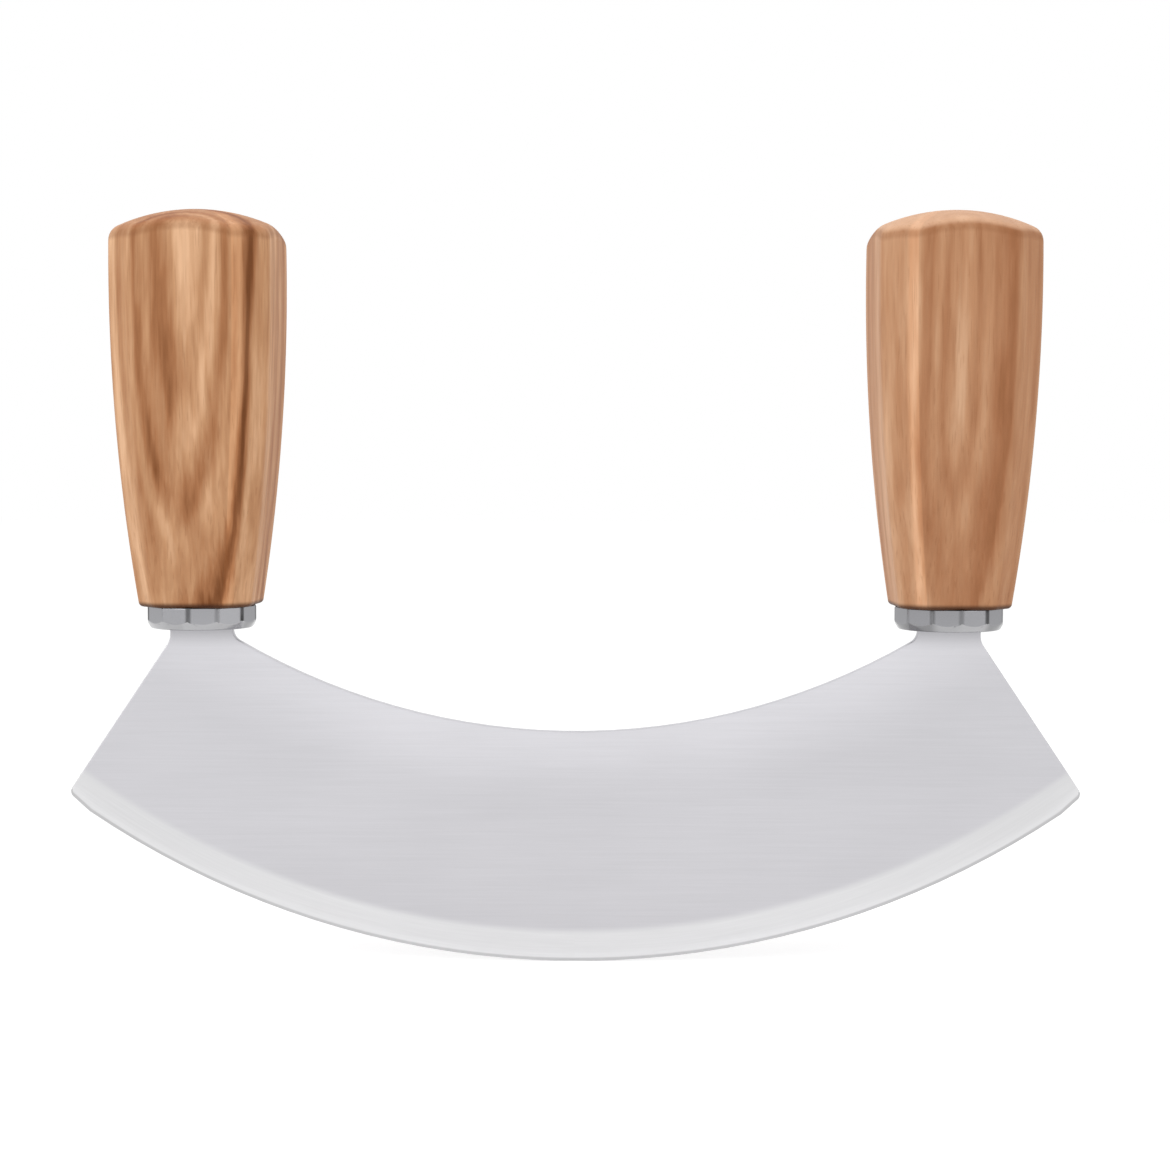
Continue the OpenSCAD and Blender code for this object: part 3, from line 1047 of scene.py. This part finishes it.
class MEZZALUNA_OT_handles(bpy.types.Operator):
    """Models both wooden handles with their flats, rounded corners, dome, tenon and bore."""
    bl_idname = "mezzaluna.handles"
    bl_label = "Handles"

    def execute(self, context):
        sizes = context.scene.mezzaluna_sizes
        for side, look in WOODS.items():
            piece = model_handle(side, sizes)
            dress(piece, side + "_handle", "handle_wood", handle_wood(side, look, sizes))
        return {"FINISHED"}


class MEZZALUNA_OT_tang_glue(bpy.types.Operator):
    """Finishes the adhesive inside the handles, which keeps its CAD shape."""
    bl_idname = "mezzaluna.tang_glue"
    bl_label = "Tang Adhesive"

    def execute(self, context):
        material = set_glue(context.scene.mezzaluna_colours)
        for side in WOODS:
            node = frame["nodes"][side + "_tang_glue"]
            node.data.materials.clear()
            node.data.materials.append(material)
        return {"FINISHED"}


class MEZZALUNA_OT_stage(bpy.types.Operator):
    """Lays the white floor, hangs the softboxes and stands the camera where the photograph's stood."""
    bl_idname = "mezzaluna.stage"
    bl_label = "Stage"

    def execute(self, context):
        stage = context.scene.mezzaluna_stage
        white_world(stage)
        white_floor()
        for box in SOFTBOXES:
            hang_softbox(*box)
        stand_camera(stage)
        context.scene.view_settings.view_transform = "Standard"
        return {"FINISHED"}


# Stage

FLOOR_SIZE = 6.0
# Light that the floor gives where it is seen directly, so that it is white
FLOOR_GLOW = 0.36
# Softboxes: name, place, width and height, power in watts
SOFTBOXES = (
    ("left_softbox", Vector((-1.25, -0.95, 0.7)), (0.7, 1.1), 5.4),
    ("top_softbox", Vector((0, -0.1, 1.0)), (0.9, 0.6), 2.0),
    ("right_softbox", Vector((0.9, -0.5, 0.4)), (0.4, 0.7), 0.8),
)


def seen_directly(nodes):
    """1 where the camera, a reflection or clear material looks straight at the surface."""
    path = nodes.add("ShaderNodeLightPath").outputs
    mirrored = nodes.math("MAXIMUM", path["Is Glossy Ray"], path["Is Transmission Ray"])
    return nodes.math("MAXIMUM", path["Is Camera Ray"], mirrored)


def white_world(stage):
    world = bpy.data.worlds.new("White studio")
    bpy.context.scene.world = world
    world.use_nodes = True
    world.node_tree.nodes.clear()
    nodes = Nodes(world.node_tree)
    background = nodes.add("ShaderNodeBackground")
    nodes.fill(background.inputs, Color=(1, 1, 1, 1),
               Strength=nodes.between(seen_directly(nodes), stage.world_light, 1.0))
    output = nodes.add("ShaderNodeOutputWorld")
    nodes.fill(output.inputs, Surface=background.outputs[0])


def white_floor():
    deselect_all()
    bpy.ops.mesh.primitive_plane_add(size=FLOOR_SIZE, location=(0, 0, CAD_LOW.z))
    floor = bpy.context.object
    floor.name = "studio_floor"
    material, nodes, surface = new_material("White floor")
    nodes.fill(surface, Base_Color=(0.8, 0.8, 0.8, 1), Roughness=0.9, Specular_IOR_Level=0.0,
               Emission_Color=(1, 1, 1, 1),
               Emission_Strength=nodes.math("MULTIPLY", seen_directly(nodes), FLOOR_GLOW))
    floor.data.materials.append(material)


def hang_softbox(name, place, size, watts):
    light = bpy.data.lights.new(name, "AREA")
    light.shape = "RECTANGLE"
    light.size, light.size_y = size
    light.energy = watts
    lamp = bpy.data.objects.new(name, light)
    bpy.context.scene.collection.objects.link(lamp)
    lamp.location = place
    middle = (CAD_LOW + CAD_HIGH) / 2
    lamp.rotation_euler = (middle - place).to_track_quat("-Z", "Y").to_euler()


def stand_camera(stage):
    azimuth, elevation = stage.azimuth, stage.elevation
    back = Vector((math.sin(azimuth) * math.cos(elevation),
                   -math.cos(azimuth) * math.cos(elevation), math.sin(elevation)))
    data = bpy.data.cameras.new("photograph_camera")
    camera = bpy.data.objects.new("photograph_camera", data)
    bpy.context.scene.collection.objects.link(camera)
    camera.location = Vector(stage.target) + back * stage.distance
    looking = (-back).to_track_quat("-Z", "Y").to_matrix()
    camera.rotation_euler = (looking @ Matrix.Rotation(stage.roll, 3, "Z")).to_euler()
    data.lens = data.sensor_width * stage.distance / stage.view_width
    data.clip_start = 0.01
    data.clip_end = 20
    bpy.context.scene.camera = camera


# Sidebar and registration

class MEZZALUNA_PT_panel(bpy.types.Panel):
    """Lists the operators in the sidebar."""
    bl_label = "Mezzaluna"
    bl_space_type = "VIEW_3D"
    bl_region_type = "UI"
    bl_category = "Mezzaluna"

    def draw(self, context):
        for operator in OPERATORS:
            self.layout.operator(operator.bl_idname)


PROPERTIES = (
    ("mezzaluna_sizes", MezzalunaSizes),
    ("mezzaluna_colours", MezzalunaColours),
    ("mezzaluna_stage", MezzalunaStage),
)
OPERATORS = (
    MEZZALUNA_OT_finishes,
    MEZZALUNA_OT_blade,
    MEZZALUNA_OT_ferrules,
    MEZZALUNA_OT_handles,
    MEZZALUNA_OT_tang_glue,
    MEZZALUNA_OT_stage,
)


def register():
    for name, group in PROPERTIES:
        bpy.utils.register_class(group)
        setattr(bpy.types.Scene, name, PointerProperty(type=group))
    for operator in (*OPERATORS, MEZZALUNA_PT_panel):
        bpy.utils.register_class(operator)


def unregister():
    for operator in (MEZZALUNA_PT_panel, *reversed(OPERATORS)):
        bpy.utils.unregister_class(operator)
    for name, group in reversed(PROPERTIES):
        delattr(bpy.types.Scene, name)
        bpy.utils.unregister_class(group)


def main():
    register()
    for operator in OPERATORS:
        space, name = operator.bl_idname.split(".")
        getattr(getattr(bpy.ops, space), name)()
    deselect_all()


if __name__ == "__main__":
    main()
